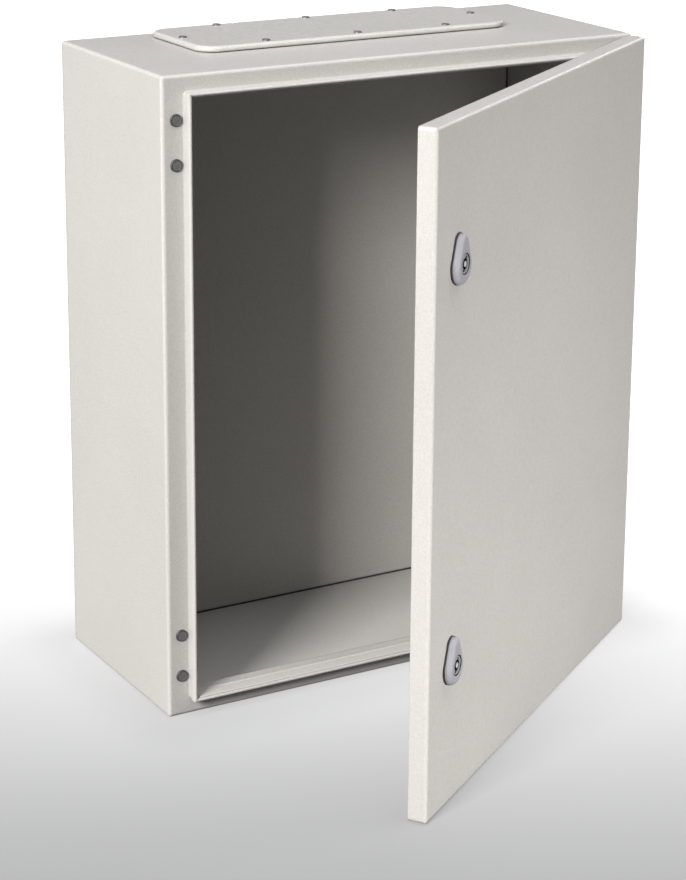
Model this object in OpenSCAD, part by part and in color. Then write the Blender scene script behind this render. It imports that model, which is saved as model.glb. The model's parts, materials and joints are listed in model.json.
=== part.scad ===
// Wall-mounted sheet-steel electrical enclosure with a hinged door.
// Millimetres, Z up, the back panel stands against the wall in the plane y = 0
// and the front faces -Y.  The origin is the centre of the four wall holes.

/* [Cabinet] */
// Outer width of the cabinet
body_w = 500; // [400:10:800]
// Outer height of the cabinet
body_h = 600; // [500:10:1000]
// Depth from the wall to the front flange
body_d = 210; // [180:5:350]
// Thickness of the folded sheet
sheet = 1.5; // [1.2:0.1:2]
// Thickness of the back panel
back_sheet = 2; // [1.8:0.1:3]
// Outer radius of every sheet bend
bend_r = 3; // [2.5:0.5:5]
// Width of the front flange at the two sides
flange_side = 21; // [20:0.5:26]
// Width of the front flange at top and bottom
flange_end = 15; // [13:0.5:22]
// Height of the rim that stands forward round the opening
rim_h = 12; // [10:0.5:14]
// Thickness of the hemmed rim
rim_t = 3; // [2.5:0.5:4]
// Radius of the relief at each rim corner
relief_r = 2; // [1:0.25:3]
// Width of the weld groove round the back panel
groove_w = 2; // [1:0.25:4]
// Depth of the weld groove
groove_d = 1.4; // [0.6:0.1:1.5]
// Thickness of the sealant laid in the groove
sealant_t = 1; // [0.4:0.1:1.4]

/* [Wall and plate fixing] */
// Distance of a wall hole from the outer faces
wall_inset = 25; // [20:1:40]
// Radius of a wall hole
wall_hole_r = 4.25; // [3:0.25:6]
// Distance of a plate stud from the outer faces
stud_inset = 50; // [45:1:80]
// Radius of a plate stud
stud_r = 4; // [3:0.5:5]
// Length of a plate stud
stud_len = 25; // [15:1:40]

/* [Gland plate] */
// Width of the gland plate
gland_w = 334; // [280:2:360]
// Depth of the gland plate
gland_d = 118; // [100:2:130]
// Height of the gland plate above the roof
gland_h = 5.5; // [5.5:0.25:7]
// Sheet thickness of the gland plate
gland_t = 1.5; // [1:0.1:2]
// Corner radius of the gland plate
gland_r = 20; // [12:1:30]
// Rounding of the upper edge
gland_edge = 2.7; // [2:0.05:2.75]
// Distance from the wall to the gland plate
gland_rear = 8.5; // [6:0.5:30]
// Screw centre to plate edge
gland_inset = 9; // [8:0.5:12]
// Distance between screws in a long row
gland_pitch = 97.5; // [80:0.5:110]
// Width of the seal band under the plate
gland_band = 18; // [15:0.5:24]
// Thread radius of a gland screw
gland_screw_r = 2.4; // [1.5:0.1:3]
// Head radius of a gland screw
gland_head_r = 3.6; // [3:0.1:5]
// Head height of a gland screw
gland_head_h = 1.4; // [1:0.1:3]

/* [Door] */
// Angle at which the door stands open
door_open = 34.5; // [0:0.5:115]
// Depth of the folded door edge
door_t = 17; // [16:0.5:22]
// Gap between door edge and front flange
door_gap = 4; // [3.5:0.25:5]
// How far the door stays inside the cabinet outline
door_inset = 1; // [0.5:0.25:2]
// Width of the door seal
seal_w = 11; // [8:0.5:13]
// Play left between seal and rim with the door closed
seal_play = 0.3; // [0.2:0.05:1]

/* [Hinges] */
// Hinge centre to the end of the cabinet
hinge_inset = 59.5; // [50:0.5:100]
// Distance between the two fixing holes of a hinge
hinge_pitch = 40; // [36:1:50]
// Fixing hole to outer side face
hinge_hole_inset = 13.5; // [12.5:0.25:15]
// Radius of a fixing hole
hinge_hole_r = 3.5; // [3:0.25:4.5]
// Thickness of the hinge strip
hinge_t = 1.8; // [1.5:0.1:2]
// Hinge axis to the outer face of the door edge
hinge_side = 5; // [5:0.25:5.5]
// Hinge axis to the front flange
hinge_front = 10; // [9.75:0.25:10.5]
// Radius of the hinge pin
pin_r = 1.8; // [1.4:0.1:2]
// Outer radius of the knuckles
knuckle_r = 3.2; // [2.8:0.1:3.3]
// Length of the cabinet-side knuckle
knuckle_len = 24; // [16:1:30]
// Thickness of a door-side ear
ear_t = 6; // [4:0.5:8]

/* [Locks] */
// Lock axis to the free edge of the cabinet
lock_inset = 47; // [44:1:60]
// Lock axis to the end of the cabinet, before both locks are raised
lock_end = 125; // [110:5:200]
// How far both locks are raised from there
lock_rise = 5; // [0:0.5:10]
// Radius of the round end of the lock housing
lock_r = 15.5; // [14:0.5:19]
// How far the round end lies below the lock axis
lock_drop = 2.4; // [0:0.1:5]
// Radius of the narrow end of the lock housing
lock_tip_r = 8.5; // [7:0.5:12]
// How far the narrow end lies above the lock axis
lock_tip = 16.4; // [14:0.1:22]
// Height of the lock housing above its seal
lock_plate_t = 5.2; // [4.5:0.1:9]
// How far the housing draws in from foot to face
lock_taper = 3; // [0.5:0.1:3.5]
// Rounding at the edge of the housing face
lock_edge = 1.5; // [0.5:0.1:2]
// Thickness of the lock seal
lock_seal_t = 1.8; // [1:0.1:2.5]
// How far the seal shows round the housing
lock_seal_lip = 0.4; // [0:0.1:1]
// Radius of the turning insert
insert_r = 9; // [8.5:0.25:9.75]
// How deep the insert lies below the housing face
insert_recess = 0.8; // [0.4:0.1:3]
// Width of the ring groove round the insert face
ring_w = 0.9; // [0.4:0.1:1.2]
// Depth of that groove
ring_d = 2; // [0.5:0.1:3]
// Radius of the key pin
key_pin_r = 2.4; // [1:0.1:2.7]
// How far the key pin stands before the insert face
key_pin_proud = 0.3; // [0:0.1:0.6]
// Radius of the key socket
socket_r = 5; // [4:0.1:6]
// Length of the double-bit slot
bit_len = 13.5; // [12.5:0.5:15]
// Width of the double-bit slot
bit_w = 3; // [2:0.1:4]
// Lean of the double-bit slot when unlocked
bit_lean = 25; // [0:5:45]
// Depth of the key socket
socket_d = 7; // [5:0.5:9]
// Thickness of the cam
cam_t = 2.5; // [2:0.1:4]
// Width of the cam
cam_w = 16; // [12:1:20]
// Reach of the cam from the lock axis
cam_len = 40; // [34:1:42]
// Gap between cam and front flange when locked
cam_gap = 1.3; // [0.5:0.1:3]

/* [Clearances] */
// Radial running play of pins and inserts
play = 0.05; // [0.02:0.01:0.1]
// Radial play of a fastener in its hole
hole_play = 0.1; // [0.05:0.05:0.5]
// Side play between neighbouring hinge pieces
side_play = 0.3; // [0.1:0.05:0.5]

/* [Hidden] */
$fn = 64;
// small overlap that joins the bodies of one piece
lap = 0.4;
// how far a cutter runs past what it cuts
over = 1;
half_w = body_w / 2;
half_h = body_h / 2;
front_y = -body_d;
inner_r = bend_r - sheet;
in_w = body_w - 2 * sheet;
in_h = body_h - 2 * sheet;
rim_x = half_w - flange_side;
rim_z = half_h - flange_end;
mouth_x = rim_x - rim_t;
mouth_z = rim_z - rim_t;

door_w = body_w - 2 * door_inset;
door_h = body_h - 2 * door_inset;
door_rear = front_y - door_gap;
door_front = door_rear - door_t;
skin_y = door_front + sheet;
seal_h = front_y - rim_h - seal_play - skin_y;
seal_crown = 2.2;
seal_round = 15;

hinge_x = half_w - door_inset - hinge_side;
hinge_y = front_y - hinge_front;
hinge_hole_x = half_w - hinge_hole_inset;
hinge_z = half_h - hinge_inset;
strip_over = 11;
leaf_h = hinge_pitch + 2 * strip_over;
leg_gap = 0.6;
leg_x = rim_x + leg_gap;
neck_y = front_y - rim_h;
strip_edge = 0.5;
leaf_end = half_w - bend_r - strip_edge;
ear_base_w = 12;
ear_edge = door_w / 2 - sheet - inner_r;
pin_over = 1.2;
pin_head_h = 1.5;
pin_head_over = 1;
pin_head_r = pin_r + pin_head_over;
hinge_stud_play = 0.5;
hinge_stud_r = hinge_hole_r - hinge_stud_play;
hinge_stud_len = 11;
hinge_nut_r = 5.8;
hinge_nut_h = 5;
washer_r = 6;
washer_t = 1;

plug_head_r = 5.75;
plug_head_h = 1.8;
plug_dome_r = 14.4;
plug_snap = 0.6;
plug_snap_r = hinge_hole_r + plug_snap;
plug_snap_h = 1.5;

gland_y = -gland_rear - gland_d / 2;
gland_open_w = gland_w - 2 * gland_band;
gland_open_d = gland_d - 2 * gland_band;
gland_row = gland_d / 2 - gland_inset;
gland_end = gland_w / 2 - gland_inset;
gland_points = [
    [-gland_pitch, gland_row], [0, gland_row], [gland_pitch, gland_row],
    [-gland_pitch, -gland_row], [0, -gland_row], [gland_pitch, -gland_row],
    [-gland_end, 0], [gland_end, 0]
];
gland_gap = 0.4;
gasket_in = 1.5 * gland_edge;
clinch_r = 4.6;
clinch_h = 3.5;

lock_x = -half_w + lock_inset;
lock_z = half_h - lock_end;
flank_in = 0.15;
skin_thin = 0.1;
edge_mid = lock_edge * (1 - cos(45));
lock_barrel_r = 11;
lock_barrel_len = 13;
lock_nut_r = 15.5;
lock_nut_h = 6;
lock_face = door_front - lock_seal_t - lock_plate_t;
barrel_end = skin_y + lock_barrel_len;
cam_front = front_y + sheet + cam_gap;
cam_rear = cam_front + cam_t;
square_side = 8;
collar_over = 1;
collar_t = 2;
cam_hub_r = 10;
cam_screw_r = 3;
cam_screw_len = 9;
cam_screw_head_r = 5.6;
cam_screw_head_h = 4;
cam_washer_r = 8;

weld_foot = 2;
weld_foot_h = 1;
earth_x = half_w - 85;
earth_z = -half_h + 36;
earth_door_z = -half_h + 80;
earth_r = 3;
earth_len = 16;
earth_nut_r = 5.8;
earth_nut_h = 5;
earth_flange_r = 7;
earth_flange_h = 1.6;

paint = [0.80, 0.79, 0.77];
zinc = [0.66, 0.67, 0.70];
dark = [0.16, 0.16, 0.17];
grey_plastic = [0.36, 0.36, 0.36];

// Flat outlines

module round_rect(w, h, r) {
    square([w - 2 * r, h], center = true);
    square([w, h - 2 * r], center = true);
    for (sx = [-1, 1], sy = [-1, 1])
        translate([sx * (w / 2 - r), sy * (h / 2 - r)])
            circle(r);
}

// Rectangle from front to rear whose two front corners are rounded
module nose_rect(w, front, rear, r) {
    translate([-w / 2, front + r])
        square([w, rear - front - r]);
    translate([-w / 2 + r, front])
        square([w - 2 * r, rear - front]);
    for (sx = [-1, 1])
        translate([sx * (w / 2 - r), front + r])
            circle(r);
}

// Round end and narrow end joined by flanks just inside their common tangents
module egg(grow) {
    big = lock_r + grow;
    tip = lock_tip_r + grow;
    rise = lock_tip + lock_drop;
    lean = asin((big - tip) / rise);
    big_in = big - flank_in;
    tip_in = tip - flank_in;
    translate([0, -lock_drop]) {
        circle(big);
        translate([0, rise])
            circle(tip);
        polygon([
            [big_in * cos(lean), big_in * sin(lean)],
            [tip_in * cos(lean), rise + tip_in * sin(lean)],
            [-tip_in * cos(lean), rise + tip_in * sin(lean)],
            [-big_in * cos(lean), big_in * sin(lean)]
        ]);
    }
}

// Placing

// Extrudes an outline drawn in x and z from y0 to y1
module along_y(y0, y1) {
    translate([0, y1, 0])
        rotate([90, 0, 0])
            linear_extrude(y1 - y0)
                children();
}

module rod_y(r, y0, y1) {
    translate([0, y0, 0])
        rotate([-90, 0, 0])
            cylinder(r = r, h = y1 - y0);
}

module nut_y(r, y0, y1) {
    translate([0, y0, 0])
        rotate([-90, 0, 0])
            cylinder(r = r, h = y1 - y0, $fn = 6);
}

module at_corners(x, z) {
    for (sx = [-1, 1], sz = [-1, 1])
        translate([sx * x, 0, sz * z])
            children();
}

// Swings a piece drawn on the closed door to where the door stands open
module on_door() {
    translate([hinge_x, hinge_y, 0])
        rotate([0, 0, door_open])
            translate([-hinge_x, -hinge_y, 0])
                children();
}

module at_hinge(side) {
    translate([0, 0, side * hinge_z])
        children();
}

module at_lock(side) {
    on_door()
        translate([lock_x, 0, lock_rise + side * lock_z])
            children();
}

// The two fixing holes of each hinge, on the side given by sx
module at_hinge_holes(sx) {
    for (sz = [-1, 1], sp = [-1, 1])
        translate([sx * hinge_hole_x, 0, sz * hinge_z + sp * hinge_pitch / 2])
            children();
}

// Block with rounded upright edges and a rounded front, as folded sheet gives
module folded_block(w, h, front, rear, r) {
    intersection() {
        along_y(front, rear)
            round_rect(w, h, r);
        translate([0, 0, -h / 2])
            linear_extrude(h)
                nose_rect(w, front, rear, r);
        translate([-w / 2, 0, 0])
            rotate([0, 90, 0])
                linear_extrude(w)
                    nose_rect(h, front, rear, r);
    }
}

// Cabinet

module rim_section() {
    translate([0, -rim_h + rim_t / 2])
        square([rim_t, rim_h - rim_t / 2 + lap]);
    translate([rim_t / 2, -rim_h + rim_t / 2])
        circle(rim_t / 2);
}

module rim() {
    for (sx = [0, 1])
        mirror([sx, 0, 0])
            translate([-rim_x, front_y, -rim_z])
                linear_extrude(2 * rim_z)
                    rim_section();
    for (sz = [0, 1])
        mirror([0, 0, sz])
            translate([-rim_x, front_y, -rim_z])
                multmatrix([[0, 0, 1, 0], [0, 1, 0, 0], [1, 0, 0, 0]])
                    linear_extrude(2 * rim_x)
                        rim_section();
}

module wrapper() {
    color(paint)
        difference() {
            union() {
                difference() {
                    folded_block(body_w, body_h, front_y, 0, bend_r);
                    folded_block(in_w, in_h, front_y + sheet, over, inner_r);
                    along_y(front_y - over, front_y + 2 * sheet)
                        square([2 * mouth_x, 2 * mouth_z], center = true);
                }
                rim();
            }
            at_corners(rim_x, rim_z)
                rod_y(relief_r, front_y - rim_h / 3, front_y);
            for (sx = [-1, 1])
                at_hinge_holes(sx)
                    rod_y(hinge_hole_r, front_y - over, front_y + 2 * sheet);
            translate([0, gland_y, half_h - 2 * sheet])
                linear_extrude(3 * sheet) {
                    round_rect(gland_open_w, gland_open_d, gland_r / 2);
                    for (p = gland_points)
                        translate(p)
                            circle(gland_screw_r + hole_play);
                }
        }
}

module back_panel() {
    color(paint)
        difference() {
            along_y(-back_sheet, 0)
                round_rect(in_w, in_h, inner_r);
            along_y(-back_sheet - over, -back_sheet + groove_d)
                difference() {
                    square([in_w + over, in_h + over], center = true);
                    square([in_w - 2 * groove_w, in_h - 2 * groove_w], center = true);
                }
            at_corners(half_w - wall_inset, half_h - wall_inset)
                rod_y(wall_hole_r, -back_sheet - over, over);
        }
}

// Bead that closes the joint between back and walls
module back_sealant() {
    floor_y = -back_sheet + groove_d;
    color(dark)
        along_y(floor_y - sealant_t, floor_y)
            difference() {
                round_rect(in_w, in_h, inner_r);
                square([in_w - 2 * groove_w, in_h - 2 * groove_w], center = true);
            }
}

module plate_studs() {
    color(zinc)
        at_corners(half_w - stud_inset, half_h - stud_inset) {
            rod_y(stud_r, -back_sheet - stud_len, -back_sheet);
            rod_y(stud_r + weld_foot, -back_sheet - weld_foot_h, -back_sheet);
        }
}

// Gland plate on the roof

module gland_slab() {
    side_w = gland_w - 2 * gland_r;
    side_d = gland_d - 2 * gland_r;
    linear_extrude(gland_h - gland_edge)
        round_rect(gland_w, gland_d, gland_r);
    linear_extrude(gland_h)
        round_rect(gland_w - 2 * gland_edge, gland_d - 2 * gland_edge, gland_r - gland_edge);
    for (sy = [-1, 1])
        translate([-side_w / 2, sy * (gland_d / 2 - gland_edge), gland_h - gland_edge])
            rotate([0, 90, 0])
                cylinder(r = gland_edge, h = side_w);
    for (sx = [-1, 1])
        translate([sx * (gland_w / 2 - gland_edge), side_d / 2, gland_h - gland_edge])
            rotate([90, 0, 0])
                cylinder(r = gland_edge, h = side_d);
    for (sx = [-1, 1], sy = [-1, 1])
        translate([sx * side_w / 2, sy * side_d / 2, gland_h - gland_edge])
            rotate_extrude()
                translate([gland_r - gland_edge, 0])
                    circle(gland_edge);
}

module gland_plate() {
    color(paint)
        translate([0, gland_y, half_h + gland_gap])
            difference() {
                gland_slab();
                translate([0, 0, -over])
                    linear_extrude(gland_h - gland_t + over)
                        round_rect(gland_w - 2 * gland_edge, gland_d - 2 * gland_edge, gland_r - gland_edge);
                for (p = gland_points)
                    translate(p)
                        cylinder(r = gland_screw_r + hole_play, h = gland_h + over);
            }
}

module gland_gasket() {
    color(dark)
        translate([0, gland_y, half_h])
            linear_extrude(gland_gap + gland_h - gland_t)
                difference() {
                    round_rect(gland_w - 2 * gasket_in, gland_d - 2 * gasket_in, gland_r - gasket_in);
                    round_rect(gland_open_w, gland_open_d, gland_r / 2);
                    for (p = gland_points)
                        translate(p)
                            circle(gland_screw_r + hole_play);
                }
}

module gland_screws() {
    seat_z = half_h + gland_gap + gland_h;
    tip_z = half_h - sheet - clinch_h;
    color(zinc)
        translate([0, gland_y, 0])
            for (p = gland_points)
                translate(p) {
                    translate([0, 0, tip_z])
                        cylinder(r = gland_screw_r, h = seat_z - tip_z + lap);
                    difference() {
                        translate([0, 0, seat_z])
                            cylinder(r = gland_head_r, h = gland_head_h);
                        translate([0, 0, seat_z + gland_head_h / 2])
                            cylinder(r = gland_head_r / 2, h = gland_head_h, $fn = 6);
                    }
                }
}

module gland_nuts() {
    color(zinc)
        translate([0, gland_y, half_h - sheet - clinch_h])
            linear_extrude(clinch_h)
                for (p = gland_points)
                    translate(p)
                        difference() {
                            circle(clinch_r);
                            circle(gland_screw_r + hole_play);
                        }
}

// Free-side hinge holes, closed by plugs

module hinge_hole_plugs() {
    back_y = front_y + sheet;
    color(grey_plastic)
        at_hinge_holes(-1) {
            intersection() {
                rod_y(plug_head_r, front_y - plug_head_h, front_y);
                translate([0, front_y - plug_head_h + plug_dome_r, 0])
                    sphere(plug_dome_r);
            }
            rod_y(hinge_hole_r - hole_play, front_y - lap, back_y + plug_snap_h);
            rod_y(plug_snap_r, back_y, back_y + plug_snap_h);
        }
}

// Hinges

// Strip on the flange, cranked round the rim to the knuckle
module hinge_leaf() {
    difference() {
        union() {
            translate([leg_x, front_y - hinge_t, -leaf_h / 2])
                cube([leaf_end - leg_x, hinge_t, leaf_h]);
            translate([leg_x, neck_y, -knuckle_len / 2])
                cube([hinge_t, rim_h, knuckle_len]);
            translate([leg_x, neck_y, -knuckle_len / 2])
                cube([hinge_x - leg_x, hinge_t, knuckle_len]);
            translate([hinge_x, hinge_y, -knuckle_len / 2])
                cylinder(r = knuckle_r, h = knuckle_len);
            for (sp = [-1, 1])
                translate([hinge_hole_x, 0, sp * hinge_pitch / 2])
                    rod_y(hinge_stud_r, front_y - hinge_t / 2, front_y + hinge_stud_len);
        }
        translate([hinge_x, hinge_y, -knuckle_len])
            cylinder(r = pin_r + play, h = 2 * knuckle_len);
    }
}

module upper_hinge_leaf() {
    color(zinc)
        at_hinge(1)
            hinge_leaf();
}

module lower_hinge_leaf() {
    color(zinc)
        at_hinge(-1)
            hinge_leaf();
}

module hinge_washers() {
    back_y = front_y + sheet;
    color(zinc)
        at_hinge_holes(1)
            difference() {
                rod_y(washer_r, back_y, back_y + washer_t);
                rod_y(hinge_stud_r + hole_play, back_y - over, back_y + washer_t + over);
            }
}

module hinge_nuts() {
    seat_y = front_y + sheet + washer_t;
    color(zinc)
        at_hinge_holes(1)
            difference() {
                nut_y(hinge_nut_r, seat_y, seat_y + hinge_nut_h);
                rod_y(hinge_stud_r + hole_play, seat_y - over, seat_y + hinge_nut_h + over);
            }
}

// Two ears on the inside of the door that carry the pin
module hinge_ears() {
    ear_z = knuckle_len / 2 + side_play;
    plate_h = 2 * (ear_z + ear_t);
    difference() {
        union() {
            translate([ear_edge - ear_base_w, skin_y, -plate_h / 2])
                cube([ear_base_w, hinge_t, plate_h]);
            for (sz = [0, 1])
                mirror([0, 0, sz])
                    translate([hinge_x, 0, ear_z])
                        linear_extrude(ear_t) {
                            translate([-knuckle_r, skin_y])
                                square([knuckle_r + ear_edge - hinge_x, hinge_y - skin_y]);
                            translate([0, hinge_y])
                                circle(knuckle_r);
                        }
        }
        translate([hinge_x, hinge_y, -plate_h])
            cylinder(r = pin_r + play, h = 2 * plate_h);
    }
}

module hinge_pin() {
    end_z = knuckle_len / 2 + side_play + ear_t;
    translate([hinge_x, hinge_y, -end_z - pin_over])
        cylinder(r = pin_r, h = 2 * end_z + pin_over + lap);
    translate([hinge_x, hinge_y, end_z])
        cylinder(r = pin_head_r, h = pin_head_h);
}

module upper_hinge_ears() {
    color(zinc)
        on_door()
            at_hinge(1)
                hinge_ears();
}

module lower_hinge_ears() {
    color(zinc)
        on_door()
            at_hinge(-1)
                hinge_ears();
}

module upper_hinge_pin() {
    color(zinc)
        on_door()
            at_hinge(1)
                hinge_pin();
}

module lower_hinge_pin() {
    color(zinc)
        on_door()
            at_hinge(-1)
                hinge_pin();
}

// Door

module door_panel() {
    color(paint)
        on_door()
            difference() {
                folded_block(door_w, door_h, door_front, door_rear, bend_r);
                folded_block(door_w - 2 * sheet, door_h - 2 * sheet, skin_y, door_rear + over, inner_r);
                for (sz = [-1, 1])
                    translate([lock_x, 0, lock_rise + sz * lock_z])
                        rod_y(lock_barrel_r + hole_play, door_front - over, skin_y + over);
            }
}

// Bead in line with the rim
module seal_outline(width) {
    mid_x = rim_x - rim_t / 2;
    mid_z = rim_z - rim_t / 2;
    difference() {
        round_rect(2 * mid_x + width, 2 * mid_z + width, seal_round + width / 2);
        round_rect(2 * mid_x - width, 2 * mid_z - width, seal_round - width / 2);
    }
}

module door_gasket() {
    color(dark)
        on_door() {
            along_y(skin_y, skin_y + seal_h - seal_crown)
                seal_outline(seal_w);
            along_y(skin_y, skin_y + seal_h)
                seal_outline(seal_w - seal_crown);
        }
}

// Locks

// One ring of the housing, drawn in from its foot by the given amount
module lock_ring(inward, y) {
    translate([0, 0, -lock_drop])
        rod_y(lock_r - inward, y, y + skin_thin);
    translate([0, 0, lock_tip])
        rod_y(lock_tip_r - inward, y, y + skin_thin);
}

module lock_housing() {
    foot = door_front - lock_seal_t;
    difference() {
        union() {
            hull() {
                lock_ring(0, foot - skin_thin, $fn = 40);
                lock_ring(lock_taper, lock_face + lock_edge, $fn = 40);
                lock_ring(lock_taper + edge_mid, lock_face + edge_mid, $fn = 40);
                lock_ring(lock_taper + lock_edge, lock_face, $fn = 40);
            }
            rod_y(lock_barrel_r, foot - lap, barrel_end);
        }
        rod_y(insert_r + play, lock_face - over, barrel_end + over);
    }
}

module lock_seal() {
    difference() {
        along_y(door_front - lock_seal_t, door_front)
            egg(lock_seal_lip);
        rod_y(lock_barrel_r + hole_play, door_front - 2 * lock_seal_t, door_front + over);
    }
}

module lock_nut() {
    difference() {
        nut_y(lock_nut_r, skin_y, skin_y + lock_nut_h);
        rod_y(lock_barrel_r + hole_play, skin_y - over, skin_y + lock_nut_h + over);
    }
}

module lock_insert() {
    face = lock_face + insert_recess;
    collar_end = barrel_end + collar_t;
    difference() {
        union() {
            rod_y(insert_r - ring_w, face, face + ring_d + lap);
            rod_y(insert_r, face + ring_d, barrel_end);
            rod_y(insert_r + collar_over, barrel_end + side_play, collar_end);
            rod_y(insert_r - collar_over, barrel_end - lap, collar_end);
            along_y(collar_end - lap, cam_rear)
                square(square_side, center = true);
        }
        rod_y(socket_r, face - over, face + socket_d);
        along_y(face - over, face + socket_d)
            rotate(-bit_lean)
                square([bit_w, bit_len], center = true);
        rod_y(cam_screw_r, cam_rear - cam_screw_len - side_play, cam_rear + over);
    }
    rod_y(key_pin_r, face - key_pin_proud, face + socket_d + lap);
}

module lock_cam() {
    bar = cam_len - cam_w / 2;
    along_y(cam_front, cam_rear)
        difference() {
            union() {
                circle(cam_hub_r);
                translate([-cam_w / 2, -bar])
                    square([cam_w, bar]);
                translate([0, -bar])
                    circle(cam_w / 2);
            }
            square(square_side + 2 * hole_play, center = true);
        }
}

module cam_screw() {
    rod_y(cam_screw_r - hole_play, cam_rear - cam_screw_len, cam_rear + washer_t + lap);
    rod_y(cam_washer_r, cam_rear, cam_rear + washer_t);
    nut_y(cam_screw_head_r, cam_rear + washer_t, cam_rear + washer_t + cam_screw_head_h);
}

module upper_lock_housing() {
    color(zinc)
        at_lock(1)
            lock_housing();
}

module lower_lock_housing() {
    color(zinc)
        at_lock(-1)
            lock_housing();
}

module upper_lock_seal() {
    color(dark)
        at_lock(1)
            lock_seal();
}

module lower_lock_seal() {
    color(dark)
        at_lock(-1)
            lock_seal();
}

module upper_lock_nut() {
    color(zinc)
        at_lock(1)
            lock_nut();
}

module lower_lock_nut() {
    color(zinc)
        at_lock(-1)
            lock_nut();
}

module upper_lock_insert() {
    color(zinc)
        at_lock(1)
            lock_insert();
}

module lower_lock_insert() {
    color(zinc)
        at_lock(-1)
            lock_insert();
}

module upper_lock_cam() {
    color(zinc)
        at_lock(1)
            lock_cam();
}

module lower_lock_cam() {
    color(zinc)
        at_lock(-1)
            lock_cam();
}

module upper_cam_screw() {
    color(zinc)
        at_lock(1)
            cam_screw();
}

module lower_cam_screw() {
    color(zinc)
        at_lock(-1)
            cam_screw();
}

// Earth studs, drawn forward or rearward of the sheet face at y = 0

module earth_stud(dir) {
    y0 = min(0, dir * earth_len);
    rod_y(earth_r, y0, y0 + earth_len);
    foot_y = min(0, dir * weld_foot_h);
    rod_y(earth_r + weld_foot, foot_y, foot_y + weld_foot_h);
}

module earth_nut(dir) {
    seat = dir * weld_foot_h;
    flange_end_y = seat + dir * earth_flange_h;
    nut_end_y = seat + dir * earth_nut_h;
    difference() {
        union() {
            rod_y(earth_flange_r, min(seat, flange_end_y), max(seat, flange_end_y));
            nut_y(earth_nut_r, min(seat, nut_end_y), max(seat, nut_end_y));
        }
        rod_y(earth_r + hole_play, -earth_len, earth_len);
    }
}

module body_earth_stud() {
    color(zinc)
        translate([earth_x, -back_sheet, earth_z])
            earth_stud(-1);
}

module body_earth_nut() {
    color(zinc)
        translate([earth_x, -back_sheet, earth_z])
            earth_nut(-1);
}

module door_earth_stud() {
    color(zinc)
        on_door()
            translate([earth_x, skin_y, earth_door_z])
                earth_stud(1);
}

module door_earth_nut() {
    color(zinc)
        on_door()
            translate([earth_x, skin_y, earth_door_z])
                earth_nut(1);
}

wrapper();
back_panel();
back_sealant();
plate_studs();
gland_plate();
gland_gasket();
gland_screws();
gland_nuts();
hinge_hole_plugs();
upper_hinge_leaf();
lower_hinge_leaf();
hinge_washers();
hinge_nuts();
body_earth_stud();
body_earth_nut();
door_panel();
door_gasket();
upper_hinge_ears();
lower_hinge_ears();
upper_hinge_pin();
lower_hinge_pin();
upper_lock_housing();
lower_lock_housing();
upper_lock_seal();
lower_lock_seal();
upper_lock_nut();
lower_lock_nut();
door_earth_stud();
door_earth_nut();
upper_lock_insert();
lower_lock_insert();
upper_lock_cam();
lower_lock_cam();
upper_cam_screw();
lower_cam_screw();
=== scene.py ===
"""Looks of a wall-mounted sheet-steel electrical enclosure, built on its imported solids.

The frame has +Z up, the cabinet's back at y = 0 and its front facing -Y. Blender works in metres.
"""
import json
import math

import bpy
from mathutils import Matrix, Vector

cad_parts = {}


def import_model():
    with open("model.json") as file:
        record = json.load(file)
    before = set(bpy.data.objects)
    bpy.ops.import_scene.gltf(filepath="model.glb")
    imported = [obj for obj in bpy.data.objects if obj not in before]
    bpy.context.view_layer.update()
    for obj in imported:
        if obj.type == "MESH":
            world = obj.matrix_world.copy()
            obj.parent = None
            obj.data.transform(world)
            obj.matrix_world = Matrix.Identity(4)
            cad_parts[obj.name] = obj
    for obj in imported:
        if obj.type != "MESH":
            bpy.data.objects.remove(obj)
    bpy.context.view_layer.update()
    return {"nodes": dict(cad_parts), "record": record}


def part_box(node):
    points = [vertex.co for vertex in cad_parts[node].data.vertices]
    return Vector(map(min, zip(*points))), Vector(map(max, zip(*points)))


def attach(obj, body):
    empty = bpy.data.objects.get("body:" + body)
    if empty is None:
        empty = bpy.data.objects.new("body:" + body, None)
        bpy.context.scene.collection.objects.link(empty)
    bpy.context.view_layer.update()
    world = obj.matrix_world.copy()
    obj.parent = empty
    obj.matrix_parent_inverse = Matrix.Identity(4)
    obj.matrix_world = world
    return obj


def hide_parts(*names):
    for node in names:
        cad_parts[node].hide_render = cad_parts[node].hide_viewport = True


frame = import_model()
nodes = frame["nodes"]
joints = {j["name"]: j for j in frame["record"]["behaviour"]["joints"]}

MM = 0.001
# The photograph's height in pixels, and the camera's sensor along it in millimetres
FRAME_H = 880
SENSOR = 36.0
# Plugs in the front flange, in millimetres: their column, and a pair about each of two heights
FLANGE_Y = -210.0
PLUG_X, PLUG_PAIR_Z, PLUG_STEP = -236.5, 240.5, 20.0
# Bore of a lock cover, and its face's height over the door's skin, in millimetres
LOCK_BORE, LOCK_FACE = 9.05, 7.0
WARM_WHITE, COOL_WHITE = (1.0, 0.968, 0.955), (0.94, 0.955, 1.0)


# Materials


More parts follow.
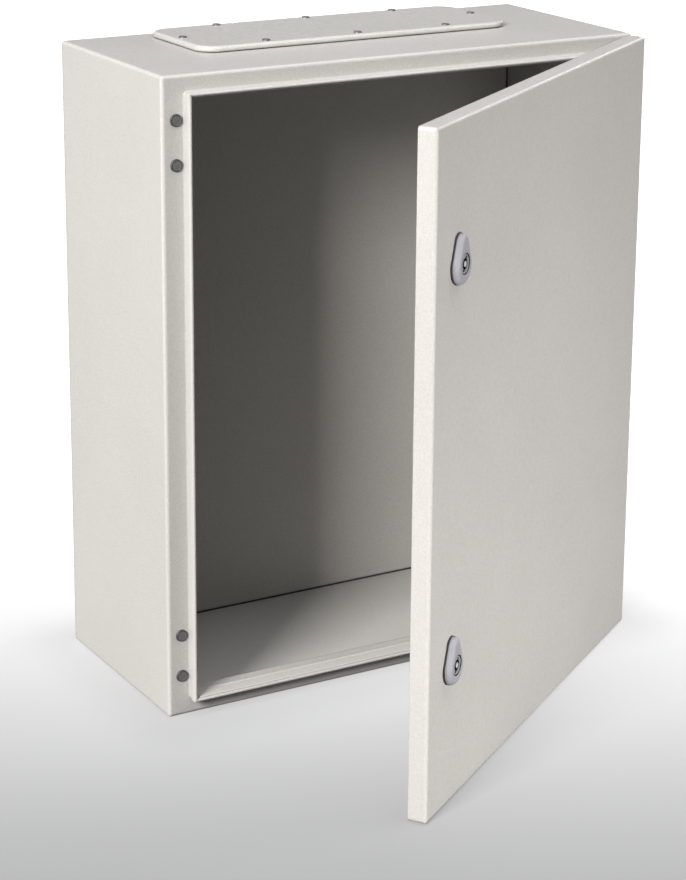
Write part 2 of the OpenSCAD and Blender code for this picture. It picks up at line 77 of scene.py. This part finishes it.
class Shader:
    """A node material with one Principled shader and a few short ways to add to it."""

    def __init__(self, name, color, rough, metal=0.0):
        self.mat = bpy.data.materials.new(name)
        self.mat.use_nodes = True
        self.tree = self.mat.node_tree
        self.bsdf = self.tree.nodes["Principled BSDF"]
        self.bsdf.inputs["Base Color"].default_value = (*color, 1.0)
        self.bsdf.inputs["Roughness"].default_value = rough
        self.bsdf.inputs["Metallic"].default_value = metal
        self.coords = self.tree.nodes.new("ShaderNodeTexCoord").outputs["Object"]
        self.normal = None

    def link(self, source, target):
        self.tree.links.new(source, target)

    def noise(self, scale, detail=2.0, rough=0.5):
        node = self.tree.nodes.new("ShaderNodeTexNoise")
        node.inputs["Scale"].default_value = scale
        node.inputs["Detail"].default_value = detail
        node.inputs["Roughness"].default_value = rough
        self.link(self.coords, node.inputs["Vector"])
        return node.outputs["Fac"]

    def ramp(self, fac, stops):
        node = self.tree.nodes.new("ShaderNodeValToRGB")
        elements = node.color_ramp.elements
        while len(elements) < len(stops):
            elements.new(0.5)
        for element, (at, color) in zip(elements, stops):
            element.position = at
            element.color = (*color, 1.0)
        self.link(fac, node.inputs["Fac"])
        return node.outputs["Color"]

    def remap(self, fac, low, high, to_low, to_high, soft=False):
        node = self.tree.nodes.new("ShaderNodeMapRange")
        node.interpolation_type = "SMOOTHSTEP" if soft else "LINEAR"
        node.inputs["From Min"].default_value = low
        node.inputs["From Max"].default_value = high
        node.inputs["To Min"].default_value = to_low
        node.inputs["To Max"].default_value = to_high
        self.link(fac, node.inputs["Value"])
        return node.outputs["Result"]

    def math(self, operation, *values):
        node = self.tree.nodes.new("ShaderNodeMath")
        node.operation = operation
        for socket, value in zip(node.inputs, values):
            if isinstance(value, float):
                socket.default_value = value
            else:
                self.link(value, socket)
        return node.outputs["Value"]

    def along(self, direction):
        """Distance of a point from the origin, measured along a direction."""
        node = self.tree.nodes.new("ShaderNodeVectorMath")
        node.operation = "DOT_PRODUCT"
        node.inputs[1].default_value = direction
        self.link(self.coords, node.inputs[0])
        return node.outputs["Value"]

    def mix(self, kind, fac, a, b):
        node = self.tree.nodes.new("ShaderNodeMix")
        node.data_type = "RGBA"
        node.blend_type = kind
        sockets = {s.identifier: s for s in node.inputs}
        if isinstance(fac, float):
            sockets["Factor_Float"].default_value = fac
        else:
            self.link(fac, sockets["Factor_Float"])
        self.link(a, sockets["A_Color"])
        self.link(b, sockets["B_Color"])
        return next(s for s in node.outputs if s.identifier == "Result_Color")

    def color(self, socket):
        self.link(socket, self.bsdf.inputs["Base Color"])

    def roughness(self, socket):
        self.link(socket, self.bsdf.inputs["Roughness"])

    def specular(self, level):
        self.bsdf.inputs["Specular IOR Level"].default_value = level

    def add_normal(self, node):
        """Let a node bend the normal further than the ones added before it."""
        if self.normal:
            self.link(self.normal, node.inputs["Normal"])
        self.normal = node.outputs["Normal"]
        self.link(self.normal, self.bsdf.inputs["Normal"])

    def add_bump(self, height, strength, distance):
        node = self.tree.nodes.new("ShaderNodeBump")
        node.inputs["Strength"].default_value = strength
        node.inputs["Distance"].default_value = distance
        self.link(height, node.inputs["Height"])
        self.add_normal(node)

    def soften(self, radius):
        """Shade sharp edges as if they were rounded."""
        node = self.tree.nodes.new("ShaderNodeBevel")
        node.samples = 8
        node.inputs["Radius"].default_value = radius
        self.add_normal(node)


def grey(value):
    return (value, value, value)


def tint(color, value):
    return tuple(c * value for c in color)


def powder_coat():
    """Fine-textured light grey powder coat: stipple, orange peel, faint mottling and soft edges."""
    base = (0.400, 0.395, 0.376)
    edge_radius = 2.2 * MM
    s = Shader("powder_coat", base, 0.48)
    stipple = s.noise(620.0, detail=2.0, rough=0.6)
    peel = s.noise(210.0, detail=1.0, rough=0.4)
    mottle = s.noise(7.0, detail=3.0, rough=0.55)
    speck = s.ramp(stipple, [(0.32, tint(base, 0.92)), (0.68, tint(base, 1.08))])
    cloud = s.ramp(mottle, [(0.35, grey(0.965)), (0.65, grey(1.0))])
    s.color(s.mix("MULTIPLY", 1.0, speck, cloud))
    s.roughness(s.remap(peel, 0.3, 0.7, 0.33, 0.45))
    s.specular(0.4)
    s.add_bump(peel, strength=0.20, distance=0.8 * MM)
    s.add_bump(stipple, strength=0.35, distance=0.5 * MM)
    s.soften(edge_radius)
    return s.mat


def zinc_plate():
    """Bright zinc plating with its cloudy spangle."""
    base = (0.60, 0.61, 0.63)
    s = Shader("zinc_plate", base, 0.36, 1.0)
    cloud = s.noise(260.0, detail=3.0, rough=0.6)
    s.color(s.ramp(cloud, [(0.32, tint(base, 0.88)), (0.68, tint(base, 1.12))]))
    s.roughness(s.remap(cloud, 0.3, 0.7, 0.30, 0.46))
    s.add_bump(s.noise(1500.0, detail=2.0), strength=0.10, distance=0.1 * MM)
    return s.mat


def dull_steel():
    """Dull dark steel of the roof screws."""
    base = (0.20, 0.20, 0.205)
    s = Shader("dull_steel", base, 0.5, 0.7)
    grain = s.noise(900.0, detail=3.0, rough=0.6)
    s.color(s.ramp(grain, [(0.3, tint(base, 0.8)), (0.7, tint(base, 1.2))]))
    s.roughness(s.remap(grain, 0.3, 0.7, 0.42, 0.58))
    s.add_bump(grain, strength=0.15, distance=0.1 * MM)
    return s.mat


def about_lock(s):
    """Distance of a point from the axis of the lock it belongs to, and its depth into the door."""
    upper, lower = joints["upper_lock_turn"], joints["lower_lock_turn"]
    at, axis = Vector(upper["pos_m"]), Vector(upper["axis"])
    across = axis.cross(Vector((0.0, 0.0, 1.0)))
    middle = (upper["pos_m"][2] + lower["pos_m"][2]) / 2
    side = s.math("SUBTRACT", s.along(across), at.dot(across))
    height = s.math("ABSOLUTE", s.math("SUBTRACT", s.along((0.0, 0.0, 1.0)), middle))
    rise = s.math("SUBTRACT", height, at.z - middle)
    square = s.math("ADD", s.math("MULTIPLY", side, side), s.math("MULTIPLY", rise, rise))
    return s.math("SQRT", square), s.math("SUBTRACT", s.along(axis), at.dot(axis))


def cast_lock():
    """Satin die-cast grey with a fine blasted grain, and painted shade in its bore."""
    base = (0.262, 0.268, 0.292)
    s = Shader("cast_lock", base, 0.52)
    grain = s.noise(1500.0, detail=2.0, rough=0.6)
    cloud = s.noise(90.0, detail=2.0)
    tone = s.ramp(grain, [(0.3, tint(base, 0.9)), (0.7, tint(base, 1.1))])
    tone = s.mix("MULTIPLY", 1.0, tone, s.ramp(cloud, [(0.3, grey(0.95)), (0.7, grey(1.0))]))
    reach, depth = about_lock(s)
    narrow = s.remap(reach, (LOCK_BORE + 0.1) * MM, (LOCK_BORE + 0.25) * MM, 1.0, 0.0)
    sunk = s.remap(depth, (0.2 - LOCK_FACE) * MM, (0.5 - LOCK_FACE) * MM, 0.0, 1.0)
    # Painted shade: points inside the bore and below the cover's face are coloured near black
    bore = s.math("MULTIPLY", narrow, sunk)
    s.color(s.mix("MIX", bore, tone, s.ramp(grain, [(0.3, grey(0.015)), (0.7, grey(0.025))])))
    s.roughness(s.remap(cloud, 0.3, 0.7, 0.46, 0.58))
    s.specular(0.4)
    s.add_bump(grain, strength=0.22, distance=0.15 * MM)
    return s.mat


def lock_insert():
    """Turned insert with a polished key pin and painted shade in its recesses, told apart by place about the
    lock axis.
    """
    base = (0.30, 0.305, 0.325)
    pin = (0.58, 0.58, 0.59)
    pin_edge, socket_depth = (2.45 * MM, 2.65 * MM), (-5.9 * MM, -5.4 * MM)
    s = Shader("lock_insert", base, 0.40, 0.3)
    grain = s.noise(900.0, detail=3.0, rough=0.6)
    reach, depth = about_lock(s)
    is_pin = s.remap(reach, *pin_edge, 1.0, 0.0)
    dull = s.ramp(grain, [(0.3, tint(base, 0.88)), (0.7, tint(base, 1.12))])
    bright = s.ramp(grain, [(0.3, tint(pin, 0.94)), (0.7, tint(pin, 1.06))])
    # Painted shade: points sunk below the insert's face, in the key socket and the groove round it, are
    # coloured near black
    recess_shade_mask = s.remap(depth, *socket_depth, 0.0, 1.0)
    dark = s.ramp(grain, [(0.3, grey(0.010)), (0.7, grey(0.020))])
    s.color(s.mix("MIX", recess_shade_mask, s.mix("MIX", is_pin, dull, bright), dark))
    s.roughness(s.remap(grain, 0.3, 0.7, 0.34, 0.48))
    s.add_bump(grain, strength=0.12, distance=0.1 * MM)
    return s.mat


def foam_seal():
    """Poured foam bead with a closed matt skin."""
    s = Shader("foam_seal", grey(0.030), 0.78)
    pores = s.noise(1400.0, detail=3.0, rough=0.65)
    lumps = s.noise(160.0, detail=2.0)
    s.color(s.ramp(pores, [(0.3, grey(0.018)), (0.7, grey(0.045))]))
    s.roughness(s.remap(lumps, 0.3, 0.7, 0.68, 0.86))
    s.add_bump(lumps, strength=0.25, distance=0.6 * MM)
    s.add_bump(pores, strength=0.35, distance=0.2 * MM)
    return s.mat


def plug_plastic():
    """Dark grey moulded plug, with painted shade darkening its outer rim where it meets the hole."""
    base = grey(0.088)
    rim_shade_edge = (4.1 * MM, 4.8 * MM)
    s = Shader("plug_plastic", base, 0.48)
    grain = s.noise(1300.0, detail=2.0)
    face = s.ramp(grain, [(0.3, tint(base, 0.86)), (0.7, tint(base, 1.18))])
    side = s.math("SUBTRACT", s.along((1.0, 0.0, 0.0)), PLUG_X * MM)
    pair = s.math("SUBTRACT", s.math("ABSOLUTE", s.along((0.0, 0.0, 1.0))), PLUG_PAIR_Z * MM)
    rise = s.math("SUBTRACT", s.math("ABSOLUTE", pair), PLUG_STEP * MM)
    square = s.math("ADD", s.math("MULTIPLY", side, side), s.math("MULTIPLY", rise, rise))
    # Painted shade: the plug's colour darkens towards its outer edge, standing in for the shadowed gap round it
    rim_shade_mask = s.remap(s.math("SQRT", square), *rim_shade_edge, 0.0, 1.0)
    rim = s.ramp(rim_shade_mask, [(0.0, grey(1.0)), (1.0, grey(0.4))])
    s.color(s.mix("MULTIPLY", 1.0, face, rim))
    s.roughness(s.remap(grain, 0.3, 0.7, 0.42, 0.56))
    s.add_bump(grain, strength=0.18, distance=0.15 * MM)
    return s.mat


FINISH = {
    "paint": powder_coat(),
    "zinc_plate": zinc_plate(),
    "lock_metal": cast_lock(),
    "seal_rubber": foam_seal(),
    "plug_plastic": plug_plastic(),
}


def dress():
    """Give every solid its finish."""
    special = {"gland_screws": dull_steel()}
    special["upper_lock_insert"] = special["lower_lock_insert"] = lock_insert()
    slots = {p["node"]: p["material_slot"] for p in frame["record"]["subparts"]}
    for name, obj in nodes.items():
        for slot in obj.material_slots:
            slot.material = special.get(name, FINISH[slots[name]])


# Lofted pieces


def loft(name, loops, finish, ends, sharp=40.0, places=(Vector(),)):
    """Skin a list of equal loops at each place; ends is "join" for a ring, "cap" for closed end faces."""
    count, total = len(loops[0]), len(loops[0]) * len(loops)
    points, faces = [], []
    for place in places:
        base = len(points)
        points += [p + place for loop in loops for p in loop]
        spans = len(loops) if ends == "join" else len(loops) - 1
        for row in range(spans):
            here, there = base + row * count, base + (row + 1) % len(loops) * count
            for i in range(count):
                j = (i + 1) % count
                faces.append((here + i, here + j, there + j, there + i))
        if ends == "cap":
            faces.append(tuple(reversed(range(base, base + count))))
            faces.append(tuple(range(base + total - count, base + total)))
    mesh = bpy.data.meshes.new(name)
    mesh.from_pydata(points, [], faces)
    mesh.materials.append(FINISH[finish])
    mesh.polygons.foreach_set("use_smooth", [True] * len(mesh.polygons))
    mesh.set_sharp_from_angle(angle=math.radians(sharp))
    mesh.update()
    obj = bpy.data.objects.new(name, mesh)
    bpy.context.scene.collection.objects.link(obj)
    return obj


def rounded_rect(width, height, radius, steps):
    """Outline of a rectangle with round corners, as points about its centre."""
    points = []
    for corner, (sx, sy) in enumerate(((1, 1), (-1, 1), (-1, -1), (1, -1))):
        for step in range(steps + 1):
            turn = math.radians(90.0 * corner + 90.0 * step / steps)
            points.append((sx * (width / 2 - radius) + radius * math.cos(turn),
                           sy * (height / 2 - radius) + radius * math.sin(turn)))
    return points


def arc(steps):
    """Cosine and sine pairs of a quarter turn."""
    return [(math.cos(math.radians(90.0 * k / steps)), math.sin(math.radians(90.0 * k / steps)))
            for k in range(steps + 1)]


def gland_cover():
    """Roof plate: a shallow pan with softly rounded edges."""
    low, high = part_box("gland_plate")
    middle = (low + high) / 2
    width, depth, height = high - low
    corner, edge, wall, sheet = 20 * MM, 3.2 * MM, 1.6 * MM, 1.5 * MM
    foot = 0.5 * MM

    def loop(inset, z):
        outline = rounded_rect(width - 2 * inset, depth - 2 * inset, corner - inset, 10)
        return [Vector((middle.x + x, middle.y + y, low.z + z)) for x, y in outline]

    # From the top over its round edge, down the wall to the foot and up again inside
    loops = [loop(edge + 4 * MM, height), loop(edge + 0.5 * MM, height)]
    loops += [loop(edge * (1 - s), height - edge * (1 - c)) for c, s in arc(8)]
    loops += [loop(0.0, foot + 0.3 * MM), loop(0.25 * MM, foot), loop(wall, foot)]
    loops += [loop(wall + 0.3 * MM, height - sheet - 1.2 * MM), loop(wall + 2 * MM, height - sheet)]
    obj = loft("gland_cover", list(reversed(loops)), "paint", "cap")
    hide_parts("gland_plate")
    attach(obj, "cabinet")


def rim_hem(name, side):
    """Sheet folded back inside the mouth's lower (-1) or upper (1) rim, with a bead along it."""
    half, mouth, front = 223.0, 282.0, -222.0
    sheet, reach, corner = 1.0, 30.0, 8.0
    bend, bend_height, drop = 19.4, 1.05, 0.3

    def loop(x, cut):
        # Distance behind the rim's front and height off the rim, round the sheet's section
        tail = reach - cut
        tail_height = bend_height - drop * (tail - bend) / (reach - bend)
        upper = [(1.5, 0.1), (1.7, 0.6), (2.3, 0.92), (3.2, sheet), (14.4, sheet), (15.4, 1.12)]
        upper += [(16.6, 1.5), (17.3, 1.62), (18.0, 1.55), (18.8, 1.2), (bend, bend_height)]
        lower = [(bend - 0.3, 0.05), (17.3, 0.6), (15.0, 0.02), (1.7, 0.02)]
        outline = upper + [(tail, tail_height), (tail, tail_height - sheet)] + lower
        return [Vector((x, front + d, side * (mouth - h))) * MM for d, h in outline]

    ends = [(half - corner * (1 - c), corner * (1 - s)) for c, s in arc(6)]
    stations = [(-x, cut) for x, cut in ends] + list(reversed(ends))
    loops = [loop(side * x, cut) for x, cut in stations]
    obj = loft(name, loops, "paint", "cap", sharp=50.0)
    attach(obj, "cabinet")


def plug_caps():
    """Push-in plugs in the free-side hinge holes: a raised rim, a groove and a low dome in front."""
    heights = [pair + step for pair in (-PLUG_PAIR_Z, PLUG_PAIR_Z) for step in (-PLUG_STEP, PLUG_STEP)]
    # Radius and height over the flange, from the snap behind it to the middle of the dome
    profile = [(3.3, -3.0), (3.9, -2.8), (4.1, -2.2), (3.4, -1.5), (3.4, 0.0), (5.6, 0.0), (5.75, 0.2)]
    profile += [(5.7, 0.8), (5.45, 1.4), (5.05, 1.72), (4.65, 1.8), (4.3, 1.74), (4.0, 1.55)]
    profile += [(3.7, 1.45), (3.3, 1.5), (2.6, 1.6), (1.8, 1.68), (0.8, 1.72)]
    count = 40
    loops = []
    for radius, out in profile:
        turns = [2 * math.pi * k / count for k in range(count)]
        loops.append([Vector((radius * math.cos(t), -out, radius * math.sin(t))) * MM for t in turns])
    places = [Vector((PLUG_X, FLANGE_Y, z)) * MM for z in heights]
    obj = loft("plug_caps", loops, "plug_plastic", "cap", sharp=50.0, places=places)
    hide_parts("hinge_hole_plugs")
    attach(obj, "cabinet")


class Egg:
    """Outline of a lock about its axis: two round ends joined by straight flanks.

    big and tip are the radii of the lower and upper ends, drop and rise their distances from the axis.
    """

    def __init__(self, big, drop, tip, rise):
        self.ends = ((-drop, big), (rise, tip))
        lean = math.asin((big - tip) / (rise + drop))
        self.flank = (math.cos(lean), math.sin(lean))

    def reach(self, turn, inset):
        """Distance from the axis to the outline, which is drawn in by inset, in a given direction."""
        dx, dz = math.cos(turn), math.sin(turn)
        best = 0.0
        for centre, radius in self.ends:
            half = dz * centre
            inside = half * half - centre * centre + (radius - inset) ** 2
            if inside >= 0.0:
                best = max(best, half + math.sqrt(inside))
        nx, nz = self.flank
        slope = abs(dx) * nx + dz * nz
        if slope > 1e-6:
            centre, radius = self.ends[0]
            out = (nz * centre + radius - inset) / slope
            along = (dz * out - centre) * nx - abs(dx) * out * nz
            span = (self.ends[1][0] - centre) * nx
            if 0.0 <= along <= span:
                best = max(best, out)
        return best


def lock_cover(side):
    """Lock housing: a low egg-shaped cover with rounded face, bored for its insert, and its barrel."""
    joint = joints[side + "_lock_turn"]
    at, axis = Vector(joint["pos_m"]), Vector(joint["axis"])
    across = axis.cross(Vector((0.0, 0.0, 1.0)))
    egg = Egg(big=15.5, drop=2.4, tip=8.5, rise=16.4)
    count = 96
    turns = [2 * math.pi * k / count for k in range(count)]
    bore, barrel = LOCK_BORE, 11.0
    foot, face, back = 1.8, LOCK_FACE, -14.5
    shoulder, rise, lip = 4.4, 2.3, 0.35

    def place(radii, out):
        points = []
        for turn, radius in zip(turns, radii):
            offset = across * radius * math.cos(turn) + Vector((0, 0, radius * math.sin(turn))) - axis * out
            points.append(at + offset * MM)
        return points

    def ring(radius, out):
        return place([radius] * count, out)

    def outline(inset, out):
        return place([egg.reach(t, inset) for t in turns], out)

    # From the bore's back over its lip, across the face and down the shoulder, and along the barrel
    loops = [ring(bore, back), ring(bore, face - lip)]
    loops += [ring(bore + 0.12, face - 0.4 * lip), ring(bore + lip, face)]
    loops += [outline(shoulder * (1 - s), rise + (face - rise) * c) for c, s in arc(12)]
    loops += [outline(0.0, foot), ring(barrel, foot), ring(barrel, back + 0.5), ring(barrel - 0.5, back)]
    obj = loft(side + "_lock_cover", list(reversed(loops)), "lock_metal", "join")
    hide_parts(side + "_lock_housing")
    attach(obj, "door")


def seal_bead():
    """Foam bead poured round the inside of the door, with a rounded crown."""
    hinge = joints["door_swing"]
    pivot = Vector(hinge["pos_m"])
    turn = Matrix.Rotation(-math.radians(hinge["range_deg"][0]), 4, "Z")
    mid_w, mid_h, corner = 455 * MM, 567 * MM, 15 * MM
    width, height, skin_y = 10.8 * MM, 7.1 * MM, -229.5 * MM
    # Shares of the bead's width and height, from its inner foot to the crown, then mirrored
    profile = [(-0.5, 0.0), (-0.5, 0.30), (-0.47, 0.55), (-0.40, 0.76), (-0.28, 0.92), (-0.12, 0.99)]
    profile += [(-x, y) for x, y in reversed(profile)]
    loops = []
    for across, up in profile:
        grow = 2 * across * width
        outline = rounded_rect(mid_w + grow, mid_h + grow, corner + grow / 2, 12)
        points = [Vector((x, skin_y + up * height, z)) for x, z in outline]
        loops.append([turn @ (p - pivot) + pivot for p in points])
    obj = loft("door_seal_bead", loops, "seal_rubber", "join", sharp=60.0)
    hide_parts("door_gasket")
    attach(obj, "door")


# Stage


def floor(level):
    """Pale studio floor that brightens away from the front, with a painted contact shadow that dims it close to
    the cabinet.

    Its glow is seen only by the camera, and its colour there isn't the one that it lights the part with.
    """
    half = 14.0
    seen, cast = (0.150, 0.154, 0.155), grey(0.12)
    rearward = (0.537, 0.843, 0.0)
    # Where a glow starts and ends along rearward, in metres, and its strength
    rear_start, rear_end, rear_glow = -0.76, 0.58, 1.10
    front_start, front_end, front_glow = -1.2, -2.8, 0.8
    even_glow = 0.21
    contact_reach, contact_shade = 0.08, 0.86
    mesh = bpy.data.meshes.new("floor")
    corners = [(-half, -half, level), (half, -half, level), (half, half, level), (-half, half, level)]
    mesh.from_pydata(corners, [], [(0, 1, 2, 3)])
    obj = bpy.data.objects.new("floor", mesh)
    bpy.context.scene.collection.objects.link(obj)
    s = Shader("studio_floor", seen, 0.8)
    sight = s.tree.nodes.new("ShaderNodeLightPath").outputs["Is Camera Ray"]
    s.color(s.ramp(sight, [(0.0, cast), (1.0, seen)]))
    along = s.along(rearward)
    behind = s.remap(along, rear_start, rear_end, 0.0, rear_glow, soft=True)
    before = s.remap(along, front_start, front_end, 0.0, front_glow, soft=True)
    glow = s.math("ADD", s.math("MAXIMUM", behind, before), even_glow)
    # Painted contact shadow: the glow dims within contact_reach of the cabinet's footprint
    low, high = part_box("wrapper")
    outside = []
    for axis, (near, far) in (((1.0, 0.0, 0.0), (low.x, high.x)), ((0.0, 1.0, 0.0), (low.y, high.y))):
        off = s.math("ABSOLUTE", s.math("SUBTRACT", s.along(axis), (near + far) / 2))
        off = s.math("MAXIMUM", s.math("SUBTRACT", off, (far - near) / 2), 0.0)
        outside.append(s.math("MULTIPLY", off, off))
    away = s.math("SQRT", s.math("ADD", *outside))
    painted_contact_shadow = s.remap(away, 0.0, contact_reach, contact_shade, 1.0, soft=True)
    glow = s.math("MULTIPLY", glow, painted_contact_shadow)
    s.link(s.math("MULTIPLY", glow, sight), s.bsdf.inputs["Emission Strength"])
    s.bsdf.inputs["Emission Color"].default_value = (1.0, 1.0, 1.0, 1.0)
    s.specular(0.1)
    mesh.materials.append(s.mat)
    return obj


def area_light(name, at, look, size, power, spare=None, color=WARM_WHITE, gloss=True):
    """Soft box, in metres and watts; spare is an object that it doesn't light, gloss whether it is mirrored."""
    data = bpy.data.lights.new(name, "AREA")
    data.shape = "RECTANGLE"
    data.size, data.size_y = size
    data.energy = power
    data.color = color
    obj = bpy.data.objects.new(name, data)
    obj.location = at
    obj.rotation_euler = (Vector(look) - Vector(at)).to_track_quat("-Z", "Y").to_euler()
    obj.visible_glossy = gloss
    bpy.context.scene.collection.objects.link(obj)
    if spare:
        group = bpy.data.collections.new(name + "_spares")
        group.objects.link(spare)
        group.collection_objects[0].light_linking.link_state = "EXCLUDE"
        obj.light_linking.receiver_collection = group


def world(seen, cast):
    """White surround to the eye, with little light of its own."""
    w = bpy.data.worlds.new("studio")
    w.use_nodes = True
    tree = w.node_tree
    strength = tree.nodes.new("ShaderNodeMapRange")
    strength.inputs["To Min"].default_value = cast
    strength.inputs["To Max"].default_value = seen
    tree.links.new(tree.nodes.new("ShaderNodeLightPath").outputs["Is Camera Ray"], strength.inputs["Value"])
    background = tree.nodes["Background"]
    background.inputs["Color"].default_value = (1.0, 1.0, 1.0, 1.0)
    tree.links.new(strength.outputs["Result"], background.inputs["Strength"])
    bpy.context.scene.world = w


def camera():
    """The photograph's viewpoint: angles in degrees, lengths in metres, offsets in pixels."""
    azimuth, elevation, roll = math.radians(-30.118), math.radians(15.570), math.radians(0.403)
    distance, target = 2.5248, Vector((0.0405, -0.0241, 0.0073))
    focal_px, centre_dy = 2500.4, -130.0
    level = math.cos(elevation)
    back = Vector((math.sin(azimuth) * level, -math.cos(azimuth) * level, math.sin(elevation)))
    right = Vector((0.0, 0.0, 1.0)).cross(back).normalized()
    up = back.cross(right)
    turned_right = right * math.cos(roll) + up * math.sin(roll)
    turned_up = up * math.cos(roll) - right * math.sin(roll)
    data = bpy.data.cameras.new("camera")
    data.sensor_width = SENSOR
    data.lens = focal_px * SENSOR / FRAME_H
    data.shift_y = centre_dy / FRAME_H
    data.clip_end = 60.0
    obj = bpy.data.objects.new("camera", data)
    rotation = Matrix((turned_right, turned_up, back)).transposed().to_4x4()
    obj.matrix_world = Matrix.Translation(target + back * distance) @ rotation
    bpy.context.scene.collection.objects.link(obj)
    bpy.context.scene.camera = obj


dress()
gland_cover()
rim_hem("lower_rim_hem", -1.0)
rim_hem("upper_rim_hem", 1.0)
plug_caps()
lock_cover("upper")
lock_cover("lower")
seal_bead()

ground = floor(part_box("wrapper")[0].z)
area_light("key", (-4.52, -2.82, 2.58), (0.0, -0.1, 0.0), (1.9, 1.9), 675.0)
area_light("fill", (0.58, -1.54, -0.24), (0.12, -0.3, -0.24), (0.5, 0.1), 23.1, ground, gloss=False)
area_light("top", (-0.1, -0.6, 2.6), (0.0, -0.1, 0.0), (1.2, 1.2), 46.0, color=COOL_WHITE)
area_light("right", (1.4, -0.85, 2.4), (0.0, -0.1, 0.0), (1.0, 1.0), 20.0)
area_light("side", (-2.2, 0.3, -0.18), (-0.25, -0.16, -0.2), (0.8, 0.2), 15.0, ground)
area_light("bend", (2.7, 0.9, 1.3), (0.2, -0.2, 0.1), (1.0, 1.0), 18.0, ground)
area_light("rear", (2.2, 2.7, 0.05), (0.1, 0.0, 0.0), (1.6, 0.4), 90.0, ground)
world(seen=1.0, cast=0.006)
camera()
bpy.context.scene.view_settings.view_transform = "Standard"
